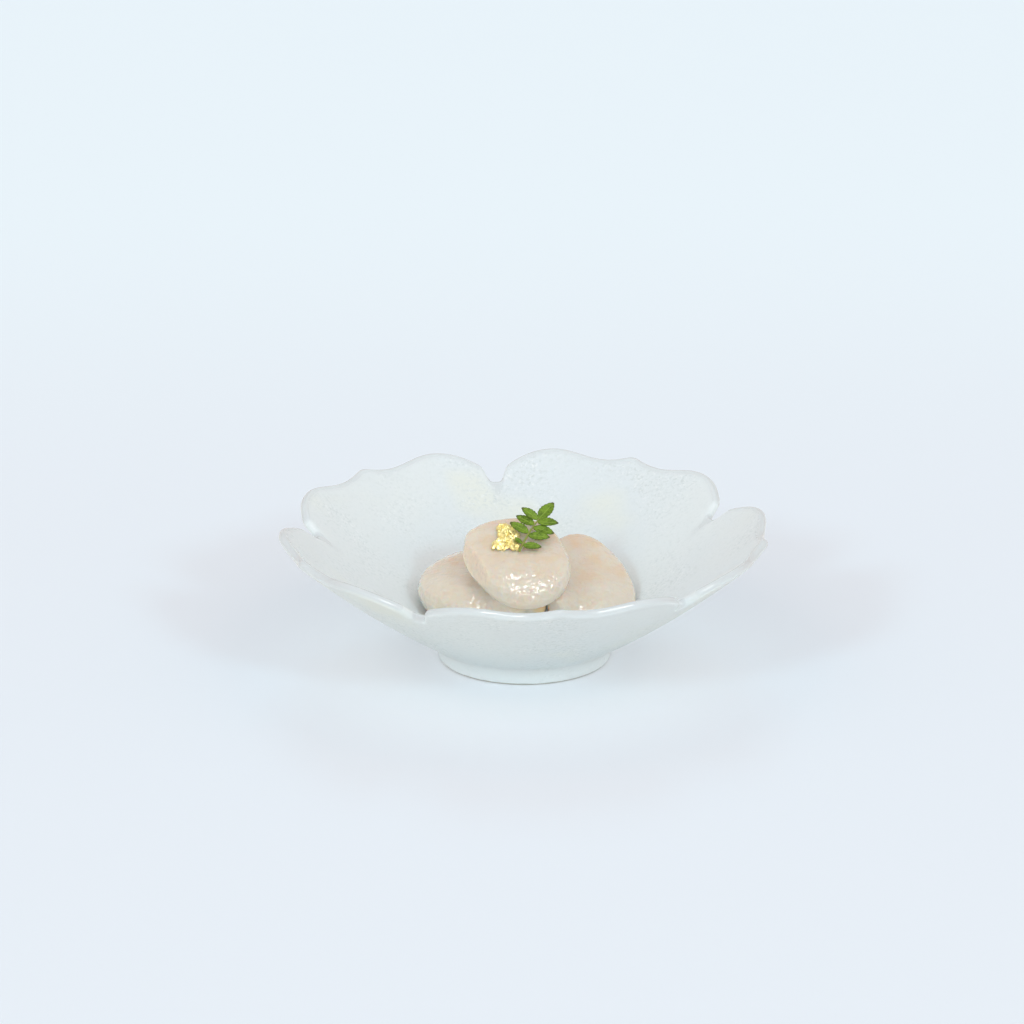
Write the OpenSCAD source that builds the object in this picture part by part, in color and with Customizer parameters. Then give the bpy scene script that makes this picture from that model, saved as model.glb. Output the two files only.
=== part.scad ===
// Five-petal mukozuke dish on a foot ring, set with the course it serves: three scallop
// pieces, a crumple of gold leaf and a sprig of young pepper leaf. Millimetres, +Z up,
// with the origin at the centre of the foot's resting face.

/* [Rim] */
// Number of petals round the rim
petals = 5; // [4:1:7]
// Radius from the centre to a petal's shoulder, the widest point of the rim
rim_r = 83.3; // [70:0.1:110]
// Height of the lip at the shoulders
rim_h = 46; // [36:0.1:60]
// Angle from a notch to the shoulder beside it
shoulder_a = 16; // [12:0.5:18]
// How far a petal's edge falls back from its shoulder to the notch corner
shoulder_drop = 8.9; // [5:0.1:10]
// How far a petal's edge dips between shoulder and centre
dip_h = 2.3; // [0:0.1:4]
// Height of the small point at a petal's centre
nib_h = 0.5; // [0:0.1:1.5]
// Depth of a notch below the shoulders, along the radius
notch_depth = 10.5; // [9.5:0.1:14]
// Width of a notch
notch_w = 5.7; // [4:0.1:8]
// Share of a notch's half width over which its corners are rounded
notch_soft = 0.55; // [0.35:0.05:0.9]
// Bearing of the first notch, seen from above
notch_turn = 97.9; // [0:0.1:180]

/* [Wall] */
// Thickness of the wall where it leaves the foot
wall_t = 4.2; // [3:0.1:6]
// Thickness of the lip
lip_t = 3.2; // [2.4:0.1:4.5]
// Thickness of the floor
floor_t = 4.2; // [3:0.1:6]
// Slope of the wall where it leaves the foot, in degrees
wall_a = 30.4; // [22:0.1:34]
// Softness of the bend between floor and wall inside
elbow = 1.1; // [0.4:0.1:2]

/* [Foot] */
// Radius of the foot where it stands
foot_r = 29.6; // [24:0.1:40]
// Radius of the foot where it meets the body
joint_r = 31.7; // [26:0.1:42]
// Height of the foot
foot_h = 6.2; // [4:0.1:10]
// Thickness of the foot ring at its standing face
foot_t = 4.6; // [3:0.1:7]
// Rounding of the foot's standing edges
foot_round = 1.1; // [0.4:0.1:1.4]
// How far the foot's outer face is hollowed between its two edges
foot_waist = 0.7; // [0:0.1:1.2]

/* [Scallops] */
// Half width of the left piece
left_w = 21.8; // [14:0.1:24]
// Half depth of the left piece
left_d = 19.5; // [14:0.1:24]
// Height of the left piece at its middle
left_h = 17.6; // [10:0.1:21]
// Half width of the right piece
right_w = 15.9; // [14:0.1:24]
// Half depth of the right piece
right_d = 19; // [14:0.1:24]
// Height of the right piece at its middle
right_h = 16.1; // [10:0.1:21]
// Half width of the top piece
top_w = 18.1; // [14:0.1:22]
// Half depth of the top piece
top_d = 18.6; // [14:0.1:22]
// Thickness of the top piece
top_h = 11.3; // [8:0.1:15]
// Slope of the top piece toward the front, in degrees
top_a = 21; // [10:0.1:26]
// Slope of the top piece's underside, in degrees
under_a = 15; // [8:0.1:24]
// How far the top piece's front edge droops past the pair
top_droop = 2.8; // [0:0.1:6]
// Clearance at each place where one piece rests on another
seat_gap = 0.3; // [0.2:0.05:0.5]

/* [Gold leaf] */
// Half width of the crumpled leaf
gold_w = 5; // [3:0.1:6]
// Half depth of the crumpled leaf
gold_d = 6.4; // [4:0.1:8]
// Height of the crumple
gold_h = 2.4; // [1:0.1:4]
// Thickness of the folded leaf
gold_t = 0.4; // [0.3:0.05:0.8]

/* [Sprig] */
// Length of the stem
stem_l = 15.8; // [12:0.1:20]
// Radius of the stem at its cut end
stem_r = 0.42; // [0.3:0.01:0.7]
// Slope of the sprig as it stands on the top piece, in degrees
sprig_a = 32; // [26:0.5:50]
// Lean of the stem to the right, in degrees
sprig_lean = 25.5; // [10:0.5:40]
// Length of a side leaflet
leaflet_l = 7.2; // [5:0.1:9]
// Width of a side leaflet
leaflet_w = 3.4; // [2.4:0.1:4]
// Length of the end leaflet
tip_l = 8.4; // [6:0.1:11]
// Width of the end leaflet
tip_w = 4.2; // [3:0.1:5]
// Thickness of a leaflet
leaflet_t = 0.3; // [0.25:0.01:0.5]
// Gap between a leaflet and the stem it grows on
leaflet_gap = 0.12; // [0.05:0.01:0.3]

/* [Hidden] */
$fn = 96;

half_a = 180 / petals;
notch_r = rim_r - notch_depth;
notch_a = asin(notch_w / 2 / notch_r);
notch_round = notch_a * notch_soft;
floor_z = foot_h + floor_t;
bend_r = joint_r - wall_t;
run = rim_r - joint_r;
wall_bend = (rim_h - lip_t / 2 - foot_h - tan(wall_a) * run) / (run * run);

// Samples along half a petal's edge: close together at the notch, then even
notch_steps = 10;
edge_steps = 13;
near_a = notch_a * 2.2;

// How much of a wave the edge runs through from shoulder to petal centre, and the point's half width
dip_turn = 300;
nib_a = 1.6;

// Where the three scallop pieces lie, the pair side by side and the third across both, with the
// slopes of their top faces and how far those faces swell
split_x = 7.2;
left_y = 10.5;
right_y = 10.5;
top_x = -2.2;
top_y = 2;
left_tilt = [0.1, 0.19];
right_tilt = [-0.34, 0.48];
top_wedge = 0.03;
pair_crown = 1;
top_crown = 0.8;

// Where the gold leaf and the stem's cut end sit on the top piece
gold_at = [-6.9, 5.6];
stem_at = [-1.8, -1.9];

function mix(a, b, t) = a + (b - a) * t;
function ease(t) = let(c = min(1, max(0, t))) c * c * (3 - 2 * c);
function polar(r, a) = [r * cos(a), r * sin(a)];
function unit(v) = v / norm(v);
function power(x, e) = sign(x) * pow(abs(x), e);

// Plan radius of the rim at an angle from the nearest notch
function rim_at(b) =
    let(in_lobe = (shoulder_a - b) / shoulder_a,
        in_dip = (b - shoulder_a) / (half_a - shoulder_a),
        fall = shoulder_drop * in_lobe * in_lobe,
        dip = dip_h / 2 * (1 - cos(dip_turn * in_dip)),
        lobe = b < shoulder_a ? fall : dip,
        nib = nib_h * exp(-pow((half_a - b) / nib_a, 2)),
        open = ease((b - notch_a + notch_round) / (2 * notch_round)))
    mix(notch_r, rim_r - lobe + nib, open);

// Outer face of the wall, its slope and its thickness at a plan radius
function outer_z(r) = let(x = r - joint_r) foot_h + tan(wall_a) * x + wall_bend * x * x;
function slope_at(r) = atan(tan(wall_a) + 2 * wall_bend * max(0, r - joint_r));
function thick_at(r) = mix(wall_t, lip_t, min(1, max(0, (r - joint_r) / run)));

// Inner face: the floor runs into the wall through a soft bend
function inner_z(r) =
    let(rise = outer_z(r) + thick_at(r) / cos(slope_at(r)) - floor_z)
    floor_z + (rise + sqrt(rise * rise + 4 * elbow * elbow)) / 2;

// A closed skin over a stack of equal rings, with a point or a flat face at each end
module skin(rings) {
    n = len(rings[0]);
    m = len(rings);
    first = [for (p = rings[0]) 1] * rings[0] / n;
    last = [for (p = rings[m - 1]) 1] * rings[m - 1] / n;
    points = concat([for (ring = rings) each ring], [first, last]);
    sides = [for (k = [0:m - 2], j = [0:n - 1])
        let(i = (j + 1) % n, a = k * n, b = a + n)
        each [[a + j, b + j, b + i], [a + j, b + i, a + i]]];
    ends = [for (j = [0:n - 1])
        let(i = (j + 1) % n, top = (m - 1) * n)
        each [[j, i, n * m], [top + i, top + j, n * m + 1]]];
    polyhedron(points, concat(sides, ends));
}

// The rim's plan outline, anticlockwise, and the outward direction at each point
half_steps = concat([for (i = [0:notch_steps - 1]) near_a * i / notch_steps],
    [for (i = [0:edge_steps - 1]) mix(near_a, half_a, i / edge_steps)]);
petal_steps = concat(half_steps, [half_a],
    [for (i = [len(half_steps) - 1:-1:1]) 2 * half_a - half_steps[i]]);
rim = [for (k = [0:petals - 1], s = petal_steps)
    polar(rim_at(min(s, 2 * half_a - s)), notch_turn + 2 * half_a * k + s)];
rim_n = len(rim);
function rim_out(j) =
    let(t = rim[(j + 1) % rim_n] - rim[(j + rim_n - 1) % rim_n])
    unit([t[1], -t[0]]);

// The lip at a rim point: the wall's face normal, the direction the lip faces, and where in plan the
// outer face runs into it
function lip_frame(j) =
    let(p = rim[j],
        a = slope_at(norm(p)),
        e = unit(p),
        out = rim_out(j),
        normal = [-sin(a) * e[0], -sin(a) * e[1], cos(a)],
        lip = unit([out[0], out[1], tan(a) * (out * e)]))
    [normal, lip, [p[0], p[1]] - lip_t / 2 * [normal[0] + lip[0], normal[1] + lip[1]]];

function outer_ring(s) = [for (j = [0:rim_n - 1])
    let(q = lip_frame(j)[2], r = mix(joint_r, norm(q), s), p = unit(q) * r)
    [p[0], p[1], outer_z(r)]];
function lip_ring(turn) = [for (j = [0:rim_n - 1])
    let(f = lip_frame(j), q = f[2])
    [q[0], q[1], outer_z(norm(q))] + lip_t / 2 * ((1 + sin(turn)) * f[0] + cos(turn) * f[1])];
function inner_ring(s) = [for (j = [0:rim_n - 1])
    let(f = lip_frame(j),
        q = f[2] + lip_t * [f[0][0], f[0][1]],
        r = mix(bend_r, norm(q), s),
        p = unit(q) * r)
    [p[0], p[1], inner_z(r)]];
function floor_ring(r) = [for (q = rim) let(p = unit(q) * r) [p[0], p[1], inner_z(r)]];

// Body: an open five-petal bowl with a rounded lip and a flat seat for the foot
module dish_body() {
    color([0.87, 0.91, 0.91])
    skin(concat(
        [for (s = [0, 0.25, 0.5, 0.75, 1]) outer_ring(s)],
        [for (turn = [-54, -18, 18, 54]) lip_ring(turn)],
        [for (s = [1, 0.8, 0.62, 0.46, 0.32, 0.2, 0.12, 0.06, 0]) inner_ring(s)],
        [floor_ring(bend_r / 2)]));
}

// Foot: a turned ring with rounded standing edges, luted to the flat seat under the body
module foot_ring() {
    inner_r = foot_r - foot_t;
    rise = joint_r - foot_r;
    outer_edge = [for (t = [-90:15:0]) [foot_r - foot_round, foot_round] + polar(foot_round, t)];
    flank = [for (t = [0.15:0.14:0.99])
        [mix(foot_r, joint_r, t) - foot_waist * sin(180 * t), mix(foot_round, foot_h, t)]];
    inner_edge = [for (t = [180:15:270]) [inner_r + foot_round, foot_round] + polar(foot_round, t)];
    color([0.84, 0.88, 0.87])
    rotate_extrude()
    polygon(concat(outer_edge, flank, [[joint_r, foot_h], [inner_r - rise / 2, foot_h]], inner_edge));
}

// A scallop piece: [plan centre, half width, half depth, outline waves, top height, top tilt, crown,
// droop of the front edge]. An outline wave is [waves round, share of the radius, bearing of a crest].
function edge_at(waves, u) =
    1 + [for (w = waves) 1] * [for (w = waves) w[1] * cos(w[0] * (u - w[2]))];
function in_piece(g, p) =
    let(d = [(p[0] - g[0][0]) / g[1], (p[1] - g[0][1]) / g[2]])
    norm(d) / edge_at(g[3], atan2(d[1], d[0]));
function droop_at(g, p) = g[7] * pow(max(0, (g[0][1] - p[1]) / g[2] - 0.4) / 0.6, 2);
function crown_at(g, p) = g[6] * (1 - pow(in_piece(g, p), 2));
function top_face(g, p) = g[4] + g[5] * (p - g[0]) + crown_at(g, p) - droop_at(g, p);

// The rounding of a piece's edge: how wide it is at a level, and how full it is at a place in plan
round_out = 0.36;
round_up = 0.6;
function wide_at(v) = pow(cos(v), round_out);
function full_at(v) = power(sin(v), round_up);
function fullness(g, p) = full_at(acos(pow(min(1, in_piece(g, p)), 1 / round_out)));

// The pair lies on the dish, so its underside follows the floor
function bed_z(p) = inner_z(norm(p)) + seat_gap;
function pair_z(g, p) = mix(bed_z(p), top_face(g, p), (1 + fullness(g, p)) / 2);
left_waves = [[2, 0.02, 40], [3, 0.02, 60]];
right_waves = [[2, 0.06, 118], [3, 0.02, 100]];
left_at = [split_x - seat_gap - left_w * edge_at(left_waves, 0), left_y];
right_at = [split_x + seat_gap + right_w * edge_at(right_waves, 180), right_y];
left_top = bed_z(left_at) + left_h - pair_crown;
right_top = bed_z(right_at) + right_h - pair_crown;
left_piece = [left_at, left_w, left_d, left_waves, left_top, left_tilt, pair_crown, 0];
right_piece = [right_at, right_w, right_d, right_waves, right_top, right_tilt, pair_crown, 0];

// The third piece lies across the pair, so its underside leans until it rests on both of them
top_at = [top_x, top_y];
top_waves = [[2, 0.062, -40], [3, 0.028, 48], [4, 0.029, -27]];
function top_form(lean) = [top_at, top_w, top_d, top_waves, 0, [lean, tan(under_a)], 0, top_droop];
rest_points = [for (x = [-0.98:0.07:0.98], y = [-0.98:0.07:0.98])
    let(p = top_at + [x * top_w, y * top_d])
    if (in_piece(top_form(0), p) < 1) p];
function rest_z(g, p) = in_piece(g, p) < 1 ? pair_z(g, p) : floor_z;
left_rest = [for (p = rest_points) rest_z(left_piece, p)];
right_rest = [for (p = rest_points) rest_z(right_piece, p)];
top_round = [for (p = rest_points) top_h * (1 - fullness(top_form(0), p)) / 2];
function seat_at(rest, lean) = max([for (i = [0:len(rest_points) - 1])
    rest[i] - top_face(top_form(lean), rest_points[i]) - top_round[i]]);
function lean_at(low, high, halvings) =
    let(lean = (low + high) / 2)
    halvings == 0 ? lean
    : seat_at(left_rest, lean) > seat_at(right_rest, lean) ? lean_at(low, lean, halvings - 1)
    : lean_at(lean, high, halvings - 1);
top_lean = lean_at(-0.4, 0.4, 14);
top_under = seat_gap + max(seat_at(left_rest, top_lean), seat_at(right_rest, top_lean));
top_top = top_under + top_h - top_crown;
top_tilt = [top_lean + top_wedge, tan(top_a)];
top_piece = [top_at, top_w, top_d, top_waves, top_top, top_tilt, top_crown, top_droop];
function under_z(p) = top_under + top_face(top_form(top_lean), p);
function top_z(p) = mix(under_z(p), top_face(top_piece, p), (1 + fullness(top_piece, p)) / 2);

// Rings of a scallop piece, from its underside to its crown
piece_sides = 36;
piece_levels = [-86, -72, -52, -28, 0, 28, 52, 72, 86];
function piece_ring(g, in_dish, v) = [for (j = [0:piece_sides - 1])
    let(u = 360 * j / piece_sides,
        wide = wide_at(v) * edge_at(g[3], u),
        p = g[0] + [g[1] * wide * cos(u), g[2] * wide * sin(u)],
        low = in_dish ? bed_z(p) : under_z(p))
    [p[0], p[1], mix(low, top_face(g, p), (1 + full_at(v)) / 2)]];
module scallop(g, in_dish) {
    color([0.91, 0.83, 0.77])
    skin([for (v = piece_levels) piece_ring(g, in_dish, v)]);
}

module scallop_left() { scallop(left_piece, true); }
module scallop_right() { scallop(right_piece, true); }
module scallop_top() { scallop(top_piece, false); }

// Gold leaf: one torn leaf, crumpled into a low heap that rests on the top piece
gold_sides = 26;
function gold_fold(x, y) =
    0.5 * abs(sin(52 * x + 21 * y)) + 0.3 * abs(cos(67 * y - 38 * x)) + 0.2 * abs(sin(113 * (x + y)));
function gold_ring(s, lift) = [for (j = [0:gold_sides - 1])
    let(u = 360 * j / gold_sides,
        ragged = 1 + 0.12 * cos(3 * u + 40) + 0.08 * sin(7 * u) + 0.05 * cos(11 * u),
        q = [gold_w * s * ragged * cos(u), gold_d * s * ragged * sin(u)],
        p = gold_at + q,
        heap = gold_h * (1 - s * s) * (0.35 + 0.65 * gold_fold(q[0], q[1])))
    [p[0], p[1], top_z(p) + seat_gap + heap + lift]];
module gold_leaf() {
    color([0.93, 0.76, 0.25])
    skin(concat(
        [for (s = [0.16, 0.34, 0.52, 0.7, 0.86, 1]) gold_ring(s, 0)],
        [for (s = [1, 0.86, 0.7, 0.52, 0.34, 0.16]) gold_ring(s, gold_t)]));
}

// The sprig's own frame: across to the right, along its slope, and off its face
sprig_across = [1, 0, 0];
sprig_along = [0, cos(sprig_a), sin(sprig_a)];
sprig_off = [0, -sin(sprig_a), cos(sprig_a)];
sprig_base = [stem_at[0], stem_at[1], top_z(stem_at) + seat_gap + stem_r];
function on_sprig(p, off = 0) = sprig_base + p[0] * sprig_across + p[1] * sprig_along + off * sprig_off;

// The stem bows a little as it leans, and thins toward the end leaflet
stem_bow = 0.3;
stem_taper = 0.45;
function stem_point(t) =
    stem_l * t * [sin(sprig_lean) * (1 - stem_bow + stem_bow * t), cos(sprig_lean)];
function stem_radius(t) = stem_r * (1 - stem_taper * t);
stem_rings = 9;
stem_sides = 8;
module sprig_stem() {
    color([0.45, 0.5, 0.16])
    skin([for (k = [0:stem_rings - 1])
        let(t = k / (stem_rings - 1), p = stem_point(t),
            along = unit(stem_point(t + 0.01) - stem_point(t - 0.01)),
            side = [along[1], -along[0]])
        [for (j = [0:stem_sides - 1])
            let(a = -360 * j / stem_sides)
            on_sprig(p + stem_radius(t) * cos(a) * side, stem_radius(t) * sin(a))]]);
}

// A leaflet: a keeled, toothed blade from its base point, at a bearing in the sprig's face
blade_steps = 12;
blade_teeth = 5.5;
tooth_depth = 0.07;
keel = 0.22;
function blade_half(t, w) =
    w / 2 * pow(sin(180 * pow(0.01 + 0.97 * t, 0.85)), 0.75)
    * (1 + tooth_depth * cos(360 * blade_teeth * t));
module leaflet(base, bearing, l, w, rise) {
    along = [sin(bearing) * cos(rise), cos(bearing) * cos(rise), sin(rise)];
    across = [cos(bearing), -sin(bearing), 0];
    off = cross(across, along);
    function blade_point(t, x, lift) =
        let(q = l * t * along + x * across + (keel * abs(x) + lift) * off)
        on_sprig(base + [q[0], q[1]], q[2]);
    color([0.2, 0.42, 0.1])
    skin([for (k = [0:blade_steps])
        let(t = k / blade_steps, b = blade_half(t, w))
        [blade_point(t, -b, leaflet_t), blade_point(t, 0, leaflet_t), blade_point(t, b, leaflet_t),
            blade_point(t, b, 0), blade_point(t, 0, 0), blade_point(t, -b, 0)]]);
}

// Four pairs of side leaflets: where each grows on the stem, its bearing and its size
left_grows = [0.97, 0.81, 0.565, 0.23];
right_grows = [0.92, 0.74, 0.5, 0.2];
left_bearing = [-53, -54, -58, -44];
right_bearing = [104, 107, 101, 100];
tip_bearing = 36;
left_rise = [13, -3, 7, 5];
right_rise = [12, -3, 6, 5];
left_share = [0.95, 1, 1, 0.45];
right_share = [1, 1, 1, 0.85];
module side_leaflet(i, side) {
    t = side < 0 ? left_grows[i] : right_grows[i];
    bearing = side < 0 ? left_bearing[i] : right_bearing[i];
    share = side < 0 ? left_share[i] : right_share[i];
    rise = side < 0 ? left_rise[i] : right_rise[i];
    out = polar(1, 90 - bearing);
    start = stem_point(t) + (stem_radius(t) / abs(sin(bearing - sprig_lean)) + leaflet_gap) * out;
    leaflet(start, bearing, leaflet_l * share, leaflet_w * share, rise);
}

module leaflet_tip() {
    leaflet(stem_point(1) + leaflet_gap * polar(1, 90 - tip_bearing), tip_bearing, tip_l, tip_w, 2);
}
module leaflet_left_1() { side_leaflet(0, -1); }
module leaflet_left_2() { side_leaflet(1, -1); }
module leaflet_left_3() { side_leaflet(2, -1); }
module leaflet_left_4() { side_leaflet(3, -1); }
module leaflet_right_1() { side_leaflet(0, 1); }
module leaflet_right_2() { side_leaflet(1, 1); }
module leaflet_right_3() { side_leaflet(2, 1); }
module leaflet_right_4() { side_leaflet(3, 1); }

dish_body();
foot_ring();
scallop_left();
scallop_right();
scallop_top();
gold_leaf();
sprig_stem();
leaflet_tip();
leaflet_left_1();
leaflet_left_2();
leaflet_left_3();
leaflet_left_4();
leaflet_right_1();
leaflet_right_2();
leaflet_right_3();
leaflet_right_4();
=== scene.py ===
import math

import bmesh
import bpy
import numpy
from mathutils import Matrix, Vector, noise
from mathutils.bvhtree import BVHTree


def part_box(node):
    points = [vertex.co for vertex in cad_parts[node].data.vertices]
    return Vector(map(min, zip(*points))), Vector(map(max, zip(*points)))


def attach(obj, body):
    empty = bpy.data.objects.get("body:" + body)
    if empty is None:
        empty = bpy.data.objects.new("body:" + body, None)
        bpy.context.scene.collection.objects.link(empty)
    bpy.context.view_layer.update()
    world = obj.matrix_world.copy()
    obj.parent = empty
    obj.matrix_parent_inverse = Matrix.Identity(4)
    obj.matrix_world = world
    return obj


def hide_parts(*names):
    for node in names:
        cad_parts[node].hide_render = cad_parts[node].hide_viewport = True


mm = 0.001
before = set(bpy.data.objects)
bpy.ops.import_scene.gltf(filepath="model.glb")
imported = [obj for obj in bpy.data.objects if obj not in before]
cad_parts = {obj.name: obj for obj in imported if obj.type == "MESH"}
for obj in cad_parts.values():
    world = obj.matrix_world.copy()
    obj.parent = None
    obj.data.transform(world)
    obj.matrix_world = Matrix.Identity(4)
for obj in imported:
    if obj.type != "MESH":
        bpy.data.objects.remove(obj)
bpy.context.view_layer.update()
print("frame loaded:", len(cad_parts), "nodes")


def tone(red, green, blue):  # a screen colour, 0 to 255, as the shader takes it
    parts = [value / 255 for value in (red, green, blue)]
    flat = [p / 12.92 if p < 0.04045 else ((p + 0.055) / 1.055) ** 2.4 for p in parts]
    return (flat[0], flat[1], flat[2], 1.0)


def ease(value, low, high):
    share = min(1.0, max(0.0, (value - low) / (high - low)))
    return share * share * (3 - 2 * share)


def ripple(place, size, seed):  # smooth noise, about -1 to 1, with lumps of that size in mm
    return noise.noise(place / (size * mm) + Vector((seed, 1.7 * seed, -seed)))


class Wire:  # a socket that takes part in sums
    def __init__(self, look, socket):
        self.look = look
        self.socket = socket

    def sum(self, operation, first, second):
        return self.look.add("ShaderNodeMath", {"operation": operation}, {0: first, 1: second})

    def __add__(self, other):
        return self.sum("ADD", self, other)

    def __radd__(self, other):
        return self.sum("ADD", other, self)

    def __sub__(self, other):
        return self.sum("SUBTRACT", self, other)

    def __rsub__(self, other):
        return self.sum("SUBTRACT", other, self)

    def __mul__(self, other):
        return self.sum("MULTIPLY", self, other)

    def __rmul__(self, other):
        return self.sum("MULTIPLY", other, self)


class Look:  # one material, or the world, and its nodes
    def __init__(self, owner, shader="Principled BSDF", coordinates="Object"):
        self.owner = owner
        self.owner.use_nodes = True
        self.tree = self.owner.node_tree
        self.shader = self.tree.nodes[shader]
        self.place = self.add("ShaderNodeTexCoord", out=coordinates)

    def plug(self, socket, value):
        if isinstance(value, Wire):
            self.tree.links.new(value.socket, socket)
        else:
            socket.default_value = value

    def add(self, kind, settings=None, sockets=None, out=0):
        made = self.tree.nodes.new(kind)
        for name, value in (settings or {}).items():
            setattr(made, name, value)
        for name, value in (sockets or {}).items():
            self.plug(made.inputs[name], value)
        return Wire(self, made.outputs[out])

    def finish(self, **sockets):
        for name, value in sockets.items():
            self.plug(self.shader.inputs[name.replace("_", " ")], value)
        return self.owner

    def cloud(self, size, detail=2, rough=0.5, place=None):  # noise with lumps of that size in mm
        sockets = {
            "Vector": place or self.place,
            "Scale": 1 / (size * mm),
            "Detail": detail,
            "Roughness": rough,
        }
        return self.add("ShaderNodeTexNoise", None, sockets)

    def cells(self, size, feature="F1", place=None):  # cells of that size in mm
        sockets = {"Vector": place or self.place, "Scale": 1 / (size * mm)}
        return self.add("ShaderNodeTexVoronoi", {"feature": feature}, sockets)

    def spread(self, scale, turn=(0, 0, 0)):  # object coordinates, stretched and turned
        sockets = {"Vector": self.place, "Scale": scale, "Rotation": turn}
        return self.add("ShaderNodeMapping", {"vector_type": "POINT"}, sockets)

    def band(self, value, low, high):  # 0 below low, 1 above high, soft between
        sockets = {"Value": value, "From Min": low, "From Max": high}
        return self.add("ShaderNodeMapRange", {"interpolation_type": "SMOOTHSTEP"}, sockets)

    def blend(self, share, first, second):  # colours
        return self.add("ShaderNodeMix", {"data_type": "RGBA"}, {0: share, 6: first, 7: second}, out=2)

    def axis(self, name):  # x, y or z of the point, in metres
        return self.add("ShaderNodeSeparateXYZ", None, {"Vector": self.place}, out=name)

    def painted(self, name):  # an attribute of the mesh
        return self.add("ShaderNodeAttribute", {"attribute_name": name}, None, out="Fac")

    def bump(self, height, strength, depth):  # depth in mm
        sockets = {"Height": height, "Strength": strength, "Distance": depth * mm}
        return self.add("ShaderNodeBump", None, sockets)


def cadTree(nodes):  # what a piece lies against
    bm = bmesh.new()
    for node in nodes:
        bm.from_mesh(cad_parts[node].data)
    tree = BVHTree.FromBMesh(bm)
    bm.free()
    return tree


def cadCopy(node):  # a merged copy of a CAD node
    bm = bmesh.new()
    bm.from_mesh(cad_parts[node].data)
    bmesh.ops.remove_doubles(bm, verts=bm.verts, dist=0.004 * mm)
    return bm


def toMesh(name, bm, smooth=True):
    mesh = bpy.data.meshes.new(name)
    bm.to_mesh(mesh)
    bm.free()
    if "custom_normal" in mesh.attributes:
        mesh.attributes.remove(mesh.attributes["custom_normal"])
    mesh.polygons.foreach_set("use_smooth", [smooth] * len(mesh.polygons))
    return mesh


def addPiece(name, bm, material, body, nodes, smooth=True):
    mesh = toMesh(name, bm, smooth)
    mesh.materials.clear()
    mesh.materials.append(material)
    piece = bpy.data.objects.new(name, mesh)
    bpy.context.scene.collection.objects.link(piece)
    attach(piece, body)
    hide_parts(*nodes)
    return piece


def refine(piece, levels):
    modifier = piece.modifiers.new("refine", "SUBSURF")
    modifier.levels = levels
    modifier.render_levels = levels


# Dish: the CAD body with a finer lip, a little thrown unevenness and a milky glaze
dishBody = {
    "uneven": 0.22,  # mm
    "unevenSize": 34,
    "unevenFrom": (44 * mm, 58 * mm),  # distance from the axis
    "lipFrom": (24 * mm, 27 * mm),  # height
    "footJoint": 30 * mm,  # the seat's edge lies outside this radius
    "levels": 2,
    "milk": tone(226, 233, 235),
    "cool": tone(223, 231, 235),
    "warm": tone(228, 233, 228),
    "grain": tone(209, 218, 220),
    "frost": tone(238, 243, 245),
    # painted shade: the lip's darker tone, as the lip catches more light than the wall
    "lip": tone(208, 215, 218),
    "grainSize": 1.2,
    "patchSize": 24,
    "gloss": 0.34,  # frosted walls
    "lipGloss": 0.24,  # how much smoother the lip is
    "depth": {  # how light wanders in the glaze, on the body and the foot alike
        "IOR": 1.5,
        "Subsurface_Weight": 0.5,
        "Subsurface_Radius": (1.0, 0.97, 0.95),
        "Subsurface_Scale": 2 * mm,
    },
}


def glazeNodes(look, finish):
    milk = look.blend(look.band(look.cloud(60, 1), 0.38, 0.66), finish["milk"], finish["cool"])
    milk = look.blend(look.band(look.cloud(38, 2), 0.56, 0.78), milk, finish["warm"])
    patch = look.band(look.cloud(finish["patchSize"], 3), 0.40, 0.68)
    grain = look.band(look.cloud(finish["grainSize"], 3, 0.6), 0.46, 0.70)
    speck = look.band(look.cells(finish["grainSize"] * 1.7, "F1"), 0.75, 0.2)
    share = (grain * 0.7 + grain * speck * 0.5) * (patch * 0.75 + 0.25)
    colour = look.blend(share, milk, finish["grain"])
    turned = look.spread((1, 1, 1), (0.4, 0.9, 0.2))
    frost = look.band(look.cloud(finish["grainSize"] * 0.9, 2, 0.6, place=turned), 0.54, 0.72)
    colour = look.blend(frost * (patch * 0.7 + 0.15), colour, finish["frost"])
    gloss = finish["gloss"] + share * 0.12
    relief = look.cloud(7, 2) * 1.4 + look.cloud(finish["grainSize"] * 1.4, 2) * 0.12 * (patch + 0.3)
    return colour, gloss, relief


def buildDish():
    look = Look(bpy.data.materials.new("milkGlaze"))
    colour, gloss, relief = glazeNodes(look, dishBody)
    lip = look.painted("lip")
    material = look.finish(
        # painted shade on the lip
        Base_Color=look.blend(lip, colour, dishBody["lip"]),
        Roughness=gloss - lip * dishBody["lipGloss"],
        Normal=look.bump(relief, 0.5, 0.1),
        **dishBody["depth"],
        Coat_Weight=lip * 0.5,
        Coat_Roughness=0.06,
    )
    bm = cadCopy("dish_body")
    bmesh.ops.join_triangles(bm, faces=bm.faces, angle_face_threshold=0.7, angle_shape_threshold=1.2)
    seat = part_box("dish_body")[0].z
    crease = bm.edges.layers.float.new("crease_edge")
    for edge in bm.edges:  # the foot's joint stays crisp
        if all(v.co.z < seat + 0.02 * mm and v.co.xy.length > dishBody["footJoint"] for v in edge.verts):
            edge[crease] = 1
    bm.normal_update()
    lipLayer = bm.verts.layers.float.new("lip")
    for v in bm.verts:  # the lip: painted shade, a darker tone where the lip catches more light than the wall; the lip is also glossier
        outward = v.normal.xy.dot(v.co.xy.normalized())
        v[lipLayer] = ease(outward + 1.2 * v.normal.z, 0.5, 1.1) * ease(v.co.z, *dishBody["lipFrom"])
    for v in bm.verts:  # uneven, but not where the slices lie
        free = ease(v.co.xy.length, *dishBody["unevenFrom"])
        v.co += v.normal * ripple(v.co, dishBody["unevenSize"], 2.0) * dishBody["uneven"] * mm * free
    piece = addPiece("dishBody", bm, material, "dish", ["dish_body"])
    refine(piece, dishBody["levels"])
    print("dish done")


buildDish()

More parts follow.
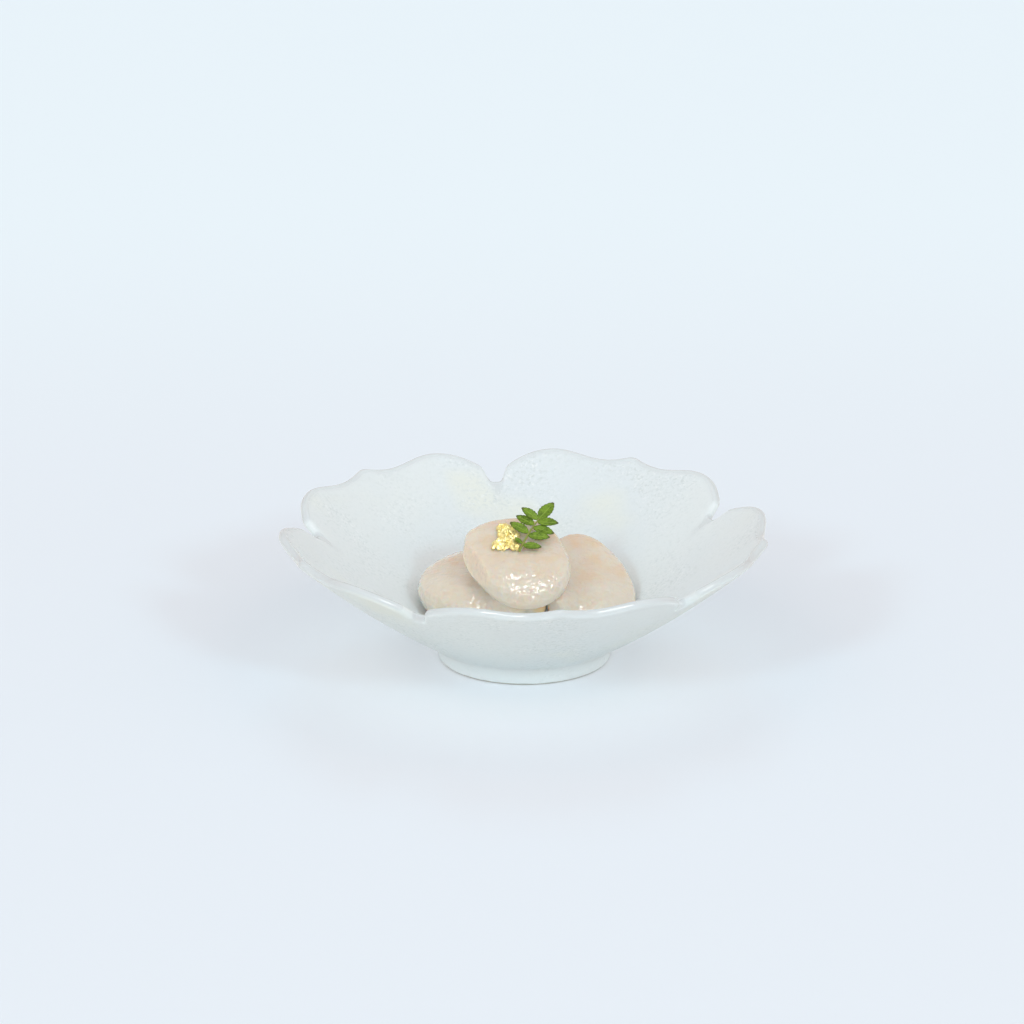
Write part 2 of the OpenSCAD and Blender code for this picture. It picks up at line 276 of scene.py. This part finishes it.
# Foot: a turned ring with a hollow flank, glazed down to a wiped standing edge
footRing = {
    "waist": 0.7,  # mm
    "edge": 1.1,
    "flare": 2.1,  # how much wider the joint is than the standing edge
    "wall": 4.6,
    "steps": 120,
    "fillet": 3.6,  # how far the glaze runs out under the body
    "biscuit": tone(198, 199, 192),
    "wiped": 0.55,
    # painted light: a lighter tone that the foot's glaze is mixed halfway towards, so the foot reads
    # brighter
    "paintedLight": tone(245, 249, 250),
    "sand": tone(178, 176, 166),
}


def buildFoot():
    look = Look(bpy.data.materials.new("footGlaze"))
    colour, gloss, relief = glazeNodes(look, dishBody)
    ragged = look.axis("Z") * (1 / mm) + look.cloud(4, 2) * 0.5
    wiped = 1 - look.band(ragged, footRing["wiped"] + 0.05, footRing["wiped"] + 0.35)
    sand = look.blend(look.cloud(0.5, 2), footRing["biscuit"], footRing["sand"])
    turned = look.cloud(0.7, 2, place=look.spread((0.05, 0.05, 1)))
    material = look.finish(
        # painted light: the foot's glaze is mixed halfway to a lighter tone
        Base_Color=look.blend(wiped, look.blend(0.5, colour, footRing["paintedLight"]), sand),
        Roughness=gloss + wiped * 0.6,
        Normal=look.bump(relief + turned * 0.5 + look.cloud(0.4, 2) * wiped, 0.5, 0.12),
        **dishBody["depth"],
        Coat_Weight=0.2 * (1 - wiped),
        Coat_Roughness=0.2,
    )
    low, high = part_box("foot_ring")
    top = high.z
    joint = high.x
    stand = joint - footRing["flare"] * mm
    inside = stand - footRing["wall"] * mm
    edge = footRing["edge"] * mm
    bend = (0, 0.52, 1.05, 1.57)
    profile = [(stand - edge + edge * math.sin(a), edge - edge * math.cos(a)) for a in bend]
    for share in (0.2, 0.4, 0.6):
        hollow = footRing["waist"] * mm * math.sin(math.pi * share)
        profile.append((stand + (joint - stand) * share - hollow, edge + (top - edge) * share))
    body = cadTree(["dish_body"])
    out = joint + footRing["fillet"] * mm
    under = body.ray_cast(Vector((0, -out, 0)), Vector((0, 0, 1)))[0].z + 0.2 * mm
    flank = profile[-1]
    for share in (0.2, 0.4, 0.6, 0.8, 1.0):  # glaze pools in the joint
        keep = (1 - share) ** 2
        turn = 2 * share * (1 - share)
        rise = share ** 2
        profile.append((
            flank[0] * keep + (joint - 0.9 * mm) * turn + out * rise,
            flank[1] * keep + (top - 0.5 * mm) * turn + under * rise,
        ))
    profile.append((inside - 1.0 * mm, top))
    profile += [(inside + edge - edge * math.cos(a), edge - edge * math.sin(a)) for a in bend]
    bm = bmesh.new()
    ring = [bm.verts.new((x, 0, z)) for x, z in profile]
    edges = [bm.edges.new((ring[i - 1], ring[i])) for i in range(len(ring))]
    bmesh.ops.spin(
        bm,
        geom=ring + edges,
        cent=(0, 0, 0),
        axis=(0, 0, 1),
        angle=math.tau,
        steps=footRing["steps"],
        use_merge=True,
    )
    bmesh.ops.remove_doubles(bm, verts=bm.verts, dist=0.004 * mm)
    bmesh.ops.recalc_face_normals(bm, faces=bm.faces)
    addPiece("footRing", bm, material, "dish", ["foot_ring"])
    print("foot done")


buildFoot()

# Scallop slices: wet, translucent flesh with a fibre grain, their shaved faces and soft edges
scallopSlices = {
    "voxel": 0.34,  # mm
    "smoothing": 10,  # rounds over the remeshed solid
    "cornerSmoothing": 4,
    "pale": tone(221, 213, 199),
    "warm": tone(221, 199, 169),
    "pink": tone(219, 203, 185),
    # painted light: a lighter tone on the top slice's shaved left facet, which faces away from the lamps
    "paintedFacetLight": tone(226, 211, 190),
    # painted light: a lighter, warmer tone where slices lie close, standing in for light through the flesh
    "paintedCreaseLight": tone(240, 217, 184),
    # painted light: a warm tone on the left slice's flank inside the gap under the top slice, standing in
    # for light through the flesh
    "paintedCaveLight": tone(234, 200, 148),
    "pebble": 0.26,  # mm, how high the beads on a torn face are
    "warmFrom": (-20 * mm, 4 * mm),  # the flesh is warmer in the middle and at the back
    "seam": 7.8,  # where the pair meets, x in mm
    "shave": (-0.754, -0.546, 0.364),  # the top slice's left facet: its normal
    "shaveAt": 26.4 * mm,  # and how far it lies from the origin
    "slices": {
        "scallop_left": {"body": "left_slice", "seed": 3.1, "swell": 0.45, "fibre": 0.11, "side": -1},
        "scallop_right": {"body": "right_slice", "seed": 7.4, "swell": 0.4, "fibre": 0.08, "side": 1},
        "scallop_top": {"body": "top_slice", "seed": 5.2, "swell": 0.35, "fibre": 0.05, "side": 0},
    },
    "full": {  # where a slice is fuller than its solid: centre, push and reach in mm
        "scallop_left": [((6.5, 1, 17), (0.2, -8.0, 1.2), 8), ((0, -6, 19), (0.8, -9.0, 2.5), 13)],
        "scallop_right": [((9.8, -4.3, 20), (-1.8, -8.5, 3.8), 9.2)],
        "scallop_top": [((-17.5, 9, 38.5), (-0.2, 0.8, 0.9), 6)],
    },
    "sag": 1.6,  # how deep the pair sinks to the front
    "sagFrom": (0.5 * mm, 7.5 * mm),  # in front of the axis
    "sagBeside": (8 * mm, 13 * mm),  # from the axis, to its own side
    "gape": 1.3,  # half width of the pair's opening under the top slice
    "gapeFrom": (9 * mm, 13 * mm),  # in front of the axis
    "meetFrom": (-11 * mm, -7 * mm),  # behind this the pair lies close
    "meetReach": (2 * mm, 6 * mm),  # how far from the seam a point is drawn to it
    "rest": 0.3 * mm,  # how far the pair stays below the top slice
    "within": 6 * mm,  # and how far into it a point may lie to be put back
    "corner": 9 * mm,  # what is softened round the pair's front corner
}


def fleshLook():
    look = Look(bpy.data.materials.new("scallopFlesh"))
    beside = look.add("ShaderNodeMath", {"operation": "ABSOLUTE"}, {0: look.axis("X")})
    deepIn = look.band(look.axis("Y") - beside * 0.6, *scallopSlices["warmFrom"])
    pink = look.band(look.cloud(11, 2), 0.34, 0.62) * (deepIn * 0.8 + 0.2)
    colour = look.blend(pink, scallopSlices["pale"], scallopSlices["pink"])
    warm = look.band(look.cloud(6, 3), 0.40, 0.72) * (deepIn * 0.75 + 0.15)
    colour = look.blend(warm, colour, scallopSlices["warm"])
    strands = look.cloud(1.1, 3, 0.6, place=look.spread((0.3, 1, 1), (0, 0, 0.5)))
    colour = look.blend(look.band(strands, 0.5, 0.75) * 0.35, colour, scallopSlices["warm"])
    # painted light where the slices lie close
    colour = look.blend(look.painted("crease"), colour, scallopSlices["paintedCreaseLight"])
    # painted light on the shaved facet
    colour = look.blend(look.painted("paintedFacetLight"), colour, scallopSlices["paintedFacetLight"])
    # painted light in the gap between the pair
    colour = look.blend(look.painted("paintedCaveLight"), colour, scallopSlices["paintedCaveLight"])
    relief = look.cells(1.3, "SMOOTH_F1") * 0.6 + look.cloud(0.8, 1) * 0.8
    return look.finish(
        Base_Color=colour,
        Roughness=0.08 + look.cloud(2.2, 2) * 0.12,
        Normal=look.bump(relief, 0.5, 0.4),
        IOR=1.45,
        Subsurface_Weight=0.95,
        Subsurface_Radius=(1.0, 0.6, 0.38),
        Subsurface_Scale=4 * mm,
        Coat_Weight=1.0,
        Coat_Roughness=0.05,
    )


def soften(bm, verts, times):
    for again in range(times):
        bmesh.ops.smooth_vert(bm, verts=verts, factor=0.5, use_axis_x=True, use_axis_y=True, use_axis_z=True)


def evenMesh(node, voxel):  # the CAD solid, remeshed to even quads
    rough = bpy.data.objects.new("rough", toMesh("rough", cadCopy(node)))
    bpy.context.scene.collection.objects.link(rough)
    remesh = rough.modifiers.new("even", "REMESH")
    remesh.mode = "VOXEL"
    remesh.voxel_size = voxel * mm
    mesh = bpy.data.meshes.new_from_object(rough.evaluated_get(bpy.context.evaluated_depsgraph_get()))
    bpy.data.objects.remove(rough)
    bm = bmesh.new()
    bm.from_mesh(mesh)
    bpy.data.meshes.remove(mesh)
    soften(bm, bm.verts, scallopSlices["smoothing"])
    bm.normal_update()
    return bm


def buildSlices():
    material = fleshLook()
    cover = cadTree(["scallop_top"])
    trees = {}
    for node, cut in scallopSlices["slices"].items():
        others = cadTree([n for n in scallopSlices["slices"] if n != node])
        bm = evenMesh(node, scallopSlices["voxel"])
        side = cut["side"]
        seed = cut["seed"]
        for v in bm.verts:
            aside = ease(side * v.co.x, *scallopSlices["sagBeside"]) * ease(v.normal.z, -0.1, 0.4)
            v.co.z -= scallopSlices["sag"] * mm * ease(-v.co.y, *scallopSlices["sagFrom"]) * aside
            shift = Vector()
            for centre, push, reach in scallopSlices["full"][node]:
                away = min(1, (v.co - Vector(centre) * mm).length / (reach * mm))
                shift += Vector(push) * mm * (1 - away * away) ** 2
            v.co += shift
        if side:  # the pair closes up behind its front corner
            for v in bm.verts:
                gape = 0.08 + scallopSlices["gape"] * ease(-v.co.y, *scallopSlices["gapeFrom"])
                meet = (scallopSlices["seam"] + gape * side) * mm
                near = 1 - ease(abs(v.co.x - meet), *scallopSlices["meetReach"])
                near *= ease(v.co.y, *scallopSlices["meetFrom"]) * ease(-side * v.normal.x, 0.2, 0.6)
                v.co.x += (meet - v.co.x) * near
                v.co.x = side * max(side * meet, side * v.co.x)
                above = cover.ray_cast(Vector((v.co.x, v.co.y, 0)), Vector((0, 0, 1)))[0]
                rest = scallopSlices["rest"]
                if above and above.z - rest < v.co.z < above.z + scallopSlices["within"]:
                    v.co.z = above.z - rest
            seam = scallopSlices["seam"] * mm
            wide = scallopSlices["corner"]
            corner = [v for v in bm.verts if abs(v.co.x - seam) < wide and v.co.y < wide]
            soften(bm, corner, scallopSlices["cornerSmoothing"])
        # painted light: a mask of the top slice's shaved facet, which gets a lighter tone
        paintedFacetLight = bm.verts.layers.float.new("paintedFacetLight")
        if not side:
            facing = Vector(scallopSlices["shave"])
            for v in bm.verts:
                past = v.co.dot(facing) - scallopSlices["shaveAt"]
                v[paintedFacetLight] = ease(past, -0.6 * mm, 0.4 * mm)
                v.co -= facing * max(0.0, past)
        bm.normal_update()
        crease = bm.verts.layers.float.new("crease")
        paintedCaveLight = bm.verts.layers.float.new("paintedCaveLight")
        for v in bm.verts:
            beside = 1 - ease(abs(v.co.x / mm - scallopSlices["seam"]), 2, 7)
            beside *= 1 - ease(v.co.y, 2 * mm, 8 * mm)
            # painted light: a mask of the left slice's flank in the gap by the seam
            v[paintedCaveLight] = beside * ease(v.normal.x, 0.1, 0.5) if side < 0 else 0
            near = others.find_nearest(v.co)[3] / mm
            # painted light: strongest where another slice is nearest
            v[crease] = (1 - ease(near, 0.3, 3.0)) * 0.6
            free = ease(v.normal.z, -0.15, 0.35) * ease(near, 0.35, 1.6)
            lump = ripple(v.co, 9, seed) * cut["swell"] + ripple(v.co, 3.4, seed + 5) * 0.13
            turned = Vector((v.co.x * 0.25, v.co.y, v.co.z))
            lump += ripple(turned, 1.5, seed + 9) * cut["fibre"]
            beads = ripple(v.co, 1.6, seed + 2) + 0.45 * ripple(v.co, 0.85, seed + 4)
            lump += beads * scallopSlices["pebble"] * (0.25 + 0.75 * ease(-v.normal.y, 0.3, 0.62))
            v.co += v.normal * lump * mm * free
        trees[node] = BVHTree.FromBMesh(bm)
        addPiece(node.replace("scallop_", "scallopSlice."), bm, material, cut["body"], [node])
        print("slice done:", node)
    return trees


sliceTrees = buildSlices()

# Gold leaf: one torn leaf, crumpled on the wet top slice
goldLeaf = {
    "across": 46,
    "along": 58,
    "seat": 0.16,  # mm
    "heap": 0.5,
    "fold": 0.85,
    "foil": 0.1,
    "tear": [  # from near to far: how far along, then the left and the right edge
        (-1.0, -0.9, 0.85),
        (-0.85, -1.0, 0.95),
        (-0.5, -0.92, 1.0),
        (-0.2, -0.55, 1.0),
        (0.15, -0.58, 1.0),
        (0.5, -0.66, 0.62),
        (0.8, -0.48, 0.22),
        (1.0, -0.35, -0.05),
    ],
    # painted light and shade: a lit and a shaded tone of the gold, mixed in random patches
    "paintedLight": tone(248, 242, 176),
    "paintedShade": tone(206, 172, 70),
    # painted shade: dark specks standing for shadow in the foil's folds and holes
    "speck": tone(120, 88, 36),
}


def buildGold():
    look = Look(bpy.data.materials.new("goldLeaf"))
    patch = look.band(look.cloud(1.6, 3, 0.6), 0.42, 0.68)
    fleck = look.band(look.cloud(0.5, 2), 0.5, 0.7)
    # painted light and shade, mixed by random patches and flecks
    colour = look.blend(patch * 0.5 + fleck * 0.3, goldLeaf["paintedLight"], goldLeaf["paintedShade"])
    # painted shade: dark specks for shadow in the folds
    paintedShadeSpecks = look.cloud(0.8, 2, place=look.spread((1, 1, 1), (0.7, 0.3, 1.1)))
    colour = look.blend(look.band(paintedShadeSpecks, 0.66, 0.74), colour, goldLeaf["speck"])
    material = look.finish(
        Base_Color=colour,
        Metallic=1.0,
        Roughness=0.22 + look.cloud(0.7, 2) * 0.25,
        Normal=look.bump(look.cloud(0.35, 3), 0.5, 0.12),
    )
    low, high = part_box("gold_leaf")
    middle = (low + high) / 2
    size = (high - low) / 2
    bm = bmesh.new()
    bmesh.ops.create_grid(bm, x_segments=goldLeaf["across"], y_segments=goldLeaf["along"], size=1)
    torn = []
    for v in bm.verts:  # wide at the near side, narrow at the far one
        for near, far in zip(goldLeaf["tear"], goldLeaf["tear"][1:]):
            if near[0] <= v.co.y <= far[0]:
                share = (v.co.y - near[0]) / (far[0] - near[0])
                left = near[1] + (far[1] - near[1]) * share
                right = near[2] + (far[2] - near[2]) * share
        reach = max(abs(v.co.x), abs(v.co.y))
        place = Vector(((left + (right - left) * (v.co.x + 1) / 2) * size.x, v.co.y * size.y, 0))
        ragged = 0.94 + 0.12 * ripple(place, 2.4, 1.0) + 0.1 * ripple(place, 1.0, 4.0)
        if reach > ragged:
            torn.append(v)
        ridge = 0.8 - abs(ripple(place, 2.6, 8.0)) * 1.3
        ridge += 0.6 * (1 - abs(ripple(place, 1.25, 2.0)) * 1.8) + 0.7 * ripple(place, 0.75, 6.0)
        fade = ease(1 - reach, 0.0, 0.3)
        v.co = Vector((middle.x, middle.y, 0)) + place
        hit = sliceTrees["scallop_top"].ray_cast(Vector((v.co.x, v.co.y, 0.2)), Vector((0, 0, -1)))
        ground = hit[0].z if hit[0] else low.z
        lift = goldLeaf["heap"] * (1 - reach * reach)
        lift += goldLeaf["fold"] * max(0.0, ridge) * (0.25 + 0.75 * fade)
        v.co.z = ground + (goldLeaf["seat"] + max(0.0, lift)) * mm
    bmesh.ops.delete(bm, geom=torn, context="VERTS")
    for v in bm.verts:  # folds lean over
        v.co.x += ripple(v.co, 1.4, 3.0) * 0.35 * mm
        v.co.y += ripple(v.co, 1.4, 9.0) * 0.35 * mm
    bmesh.ops.solidify(bm, geom=bm.faces, thickness=goldLeaf["foil"] * mm)
    bmesh.ops.recalc_face_normals(bm, faces=bm.faces)
    addPiece("goldLeaf", bm, material, "top_slice", ["gold_leaf"], smooth=False)
    print("gold leaf done")


buildGold()

# Kinome sprig: a rib with nine toothed leaflets
sprig = {
    "across": 14,
    "along": 30,
    "keel": 0.22,
    "teeth": 6.5,
    "toothDepth": 0.13,
    "blade": 0.2,  # mm
    "reach": 0.16,  # how far a blade starts before its solid, towards the rib
    "stemGrowth": 0.07,
    "stemLevels": 2,
    "green": tone(116, 147, 42),
    "dark": tone(80, 107, 28),
    "light": tone(152, 178, 74),
    "tip": tone(74, 66, 48),
    "stem": tone(134, 146, 62),
    "stemRed": tone(132, 110, 62),
    "plump": 1.1,  # how much fuller the blades are than their solids
}


def leafLook():
    look = Look(bpy.data.materials.new("kinomeLeaf"))
    along = look.painted("along")
    side = look.painted("side")
    colour = look.blend(look.band(look.cloud(1.6, 2), 0.4, 0.7), sprig["green"], sprig["dark"])
    colour = look.blend(look.band(look.cloud(0.9, 2), 0.52, 0.75) * 0.5, colour, sprig["light"])
    rib = 1 - look.band(side, 0.03, 0.12)
    colour = look.blend(rib * 0.6, colour, sprig["light"])
    veins = look.add("ShaderNodeMath", {"operation": "SINE"}, {0: (along - side * 0.22) * 52})
    vein = look.band(veins, 0.75, 1.0) * look.band(side, 0.05, 0.2)
    colour = look.blend(vein * 0.25, colour, sprig["light"])
    edge = look.band(side, 0.72, 0.98) * 0.75
    colour = look.blend(edge, colour, sprig["dark"])
    scorch = look.band(side, 0.9, 1.0) * look.band(look.cloud(1.1, 2), 0.45, 0.6)
    tip = look.band(along, 0.82, 1.0) * 0.75 + scorch * 0.5
    colour = look.blend(tip, colour, sprig["tip"])
    relief = rib * -0.5 + vein * -0.25 + look.cloud(0.5, 2) * 0.4
    return look.finish(
        Base_Color=colour,
        Roughness=0.45 + look.cloud(0.8, 2) * 0.2,
        Normal=look.bump(relief, 0.6, 0.12),
        Specular_IOR_Level=0.22,
        Subsurface_Weight=0.2,
        Subsurface_Radius=(0.6, 1.0, 0.3),
        Subsurface_Scale=0.4 * mm,
    )


def stemLook():
    look = Look(bpy.data.materials.new("kinomeStem"))
    colour = look.blend(look.band(look.cloud(1.8, 2), 0.45, 0.7) * 0.6, sprig["stem"], sprig["stemRed"])
    relief = look.cloud(0.4, 2, place=look.spread((1, 0.2, 0.2)))
    return look.finish(
        Base_Color=colour,
        Roughness=0.45 + look.cloud(0.6, 2) * 0.1,
        Normal=look.bump(relief, 0.5, 0.08),
    )


def bladeHalf(share):  # half width of a leaflet, as a share of its widest
    return math.sin(math.pi * (0.012 + 0.972 * share) ** 0.85) ** 0.75


def buildLeaflet(node, material, stemTree):
    points = numpy.array([v.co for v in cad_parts[node].data.vertices])
    centre = points.mean(axis=0)
    axes = numpy.linalg.svd(points - centre, full_matrices=False)[2]
    length = Vector(axes[0])
    spans = (points - centre) @ axes.T
    ends = [Vector(centre) + length * float(reach) for reach in (spans[:, 0].min(), spans[:, 0].max())]
    if stemTree.find_nearest(ends[0])[3] > stemTree.find_nearest(ends[1])[3]:
        ends.reverse()
        length = -length
    off = Vector(axes[2])
    if off.z < 0:
        off = -off
    across = length.cross(off)
    start = ends[0] - length * sprig["reach"] * mm
    long = (ends[1] - start).length
    half = float(numpy.abs(spans[:, 1]).max()) * sprig["plump"]
    low = float(spans[:, 2].min()) if Vector(axes[2]).z > 0 else -float(spans[:, 2].max())
    seed = float(centre[0] + centre[1]) / mm
    bm = bmesh.new()
    bmesh.ops.create_grid(bm, x_segments=sprig["across"], y_segments=sprig["along"], size=0.5)
    alongLayer = bm.verts.layers.float.new("along")
    sideLayer = bm.verts.layers.float.new("side")
    for v in bm.verts:
        share = v.co.y + 0.5
        side = 2 * v.co.x
        gap = 1 - abs(math.sin(math.pi * sprig["teeth"] * share))
        tooth = 1 - sprig["toothDepth"] * gap * abs(side) ** 3
        x = side * half * bladeHalf(share) * tooth
        z = low + sprig["keel"] * abs(x) - 0.05 * half * share ** 2
        place = start + length * long * share + across * x
        z += ripple(place, 2.2, seed) * 0.12 * mm * abs(side)
        z += ripple(place, 4.0, seed + 3) * 0.1 * mm * share
        v[alongLayer] = share
        v[sideLayer] = abs(side)
        v.co = place + off * z
    bmesh.ops.recalc_face_normals(bm, faces=bm.faces)
    bmesh.ops.solidify(bm, geom=bm.faces, thickness=sprig["blade"] * mm)
    bmesh.ops.recalc_face_normals(bm, faces=bm.faces)
    addPiece(node.replace("leaflet_", "leaflet."), bm, material, "sprig", [node])


def buildSprig():
    stemTree = cadTree(["sprig_stem"])
    bm = cadCopy("sprig_stem")
    bmesh.ops.join_triangles(bm, faces=bm.faces, angle_face_threshold=0.7, angle_shape_threshold=1.2)
    bm.normal_update()
    for v in bm.verts:
        v.co += v.normal * (sprig["stemGrowth"] + 0.05 * ripple(v.co, 1.2, 4.0)) * mm
    piece = addPiece("sprigStem", bm, stemLook(), "sprig", ["sprig_stem"])
    refine(piece, sprig["stemLevels"])
    material = leafLook()
    leaflets = [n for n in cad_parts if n.startswith("leaflet_")]
    for node in sorted(leaflets):
        buildLeaflet(node, material, stemTree)
    print("sprig done:", len(leaflets), "leaflets")


buildSprig()

# Stage: a pale floor, even studio light, three softboxes and a lamp that only shows in wet and glazed faces
stage = {
    "floor": tone(230, 237, 245),
    "far": tone(233, 244, 251),
    "bounce": tone(237, 237, 235),  # what the floor throws back at the dish
    "through": (0.15, 0.13, 0.115, 1.0),  # painted light: the floor under the dish glows, as if the milky dish let light through to it
    "under": (45 * mm, 105 * mm),  # where that light fades, from the axis
    "glow": (0.06, 0.075, 0.085, 1.0),  # painted light: how much of that glow shines back up on the dish
    "ambient": (0.9, 0.82, 0.79, 1.0),
    "lean": 0.24,  # how much more of the even light comes from the front than from the back
    "boxes": [  # place in metres, share of the floor's light, size in metres, colour
        ((2.2, -2.7, 2.05), 0.08, 0.62, (0.56, 0.9, 1.0)),
        ((-2.2, -2.7, 2.05), 0.08, 0.62, (0.56, 0.9, 1.0)),
        ((0.0, 3.1, 2.4), 0.062, 1.2, (0.42, 0.84, 1.0)),
        ((0.53, -2.0, 2.75), 0.27, 1.1, (1.0, 1.0, 1.0)),
    ],
    "glint": 3,  # the box that only shows in wet and glazed faces
    "aim": (0.0, 0.0, 0.02),
    "floorSize": 8,
    "eye": (-0.00425, -1.43981, 0.55832),
    "pitch": 70.61,
    "lens": 158.2,
    "sensor": 36,
}


def buildStage():
    look = Look(bpy.data.materials.new("paleFloor"))
    away = look.band(look.axis("Y"), 0.1, 0.6)
    seen = look.add("ShaderNodeLightPath", out="Is Camera Ray")
    colour = look.blend(seen, stage["bounce"], look.blend(away, stage["floor"], stage["far"]))
    distance = look.add("ShaderNodeVectorMath", {"operation": "LENGTH"}, {0: look.place}, out="Value")
    under = 1 - look.band(distance, *stage["under"])
    through = look.blend(seen, stage["glow"], stage["through"])
    material = look.finish(
        Base_Color=colour,
        Roughness=0.95,
        Specular_IOR_Level=0.0,
        # painted light: the floor glows under the dish
        Emission_Color=look.blend(under, (0.0, 0.0, 0.0, 1.0), through),
        Emission_Strength=1.0,
    )
    bm = bmesh.new()
    bmesh.ops.create_grid(bm, x_segments=2, y_segments=2, size=stage["floorSize"])
    floor = bpy.data.objects.new("floor", toMesh("floor", bm))
    floor.data.materials.append(material)
    bpy.context.scene.collection.objects.link(floor)

    sky = Look(bpy.data.worlds.new("studio"), "Background", "Generated")
    level = 1 - sky.axis("Y") * stage["lean"]
    bpy.context.scene.world = sky.finish(Color=stage["ambient"], Strength=level)

    for number, (place, share, size, colour) in enumerate(stage["boxes"]):
        light = bpy.data.lights.new("box.%d" % number, "AREA")
        away = Vector(place).length
        light.energy = share * math.pi ** 2 * away ** 2 / (place[2] / away)
        light.shape = "SQUARE"
        light.size = size
        light.color = colour
        lamp = bpy.data.objects.new("box.%d" % number, light)
        lamp.location = place
        lamp.rotation_euler = (Vector(stage["aim"]) - Vector(place)).to_track_quat("-Z", "Y").to_euler()
        lamp.visible_glossy = number == stage["glint"]
        lamp.visible_diffuse = number != stage["glint"]
        bpy.context.scene.collection.objects.link(lamp)

    camera = bpy.data.objects.new("camera", bpy.data.cameras.new("camera"))
    camera.data.lens = stage["lens"]
    camera.data.sensor_width = stage["sensor"]
    camera.location = stage["eye"]
    camera.rotation_euler = (math.radians(stage["pitch"]), 0, 0)
    bpy.context.scene.collection.objects.link(camera)
    bpy.context.scene.camera = camera
    bpy.context.scene.view_settings.view_transform = "Standard"
    print("stage done")


buildStage()
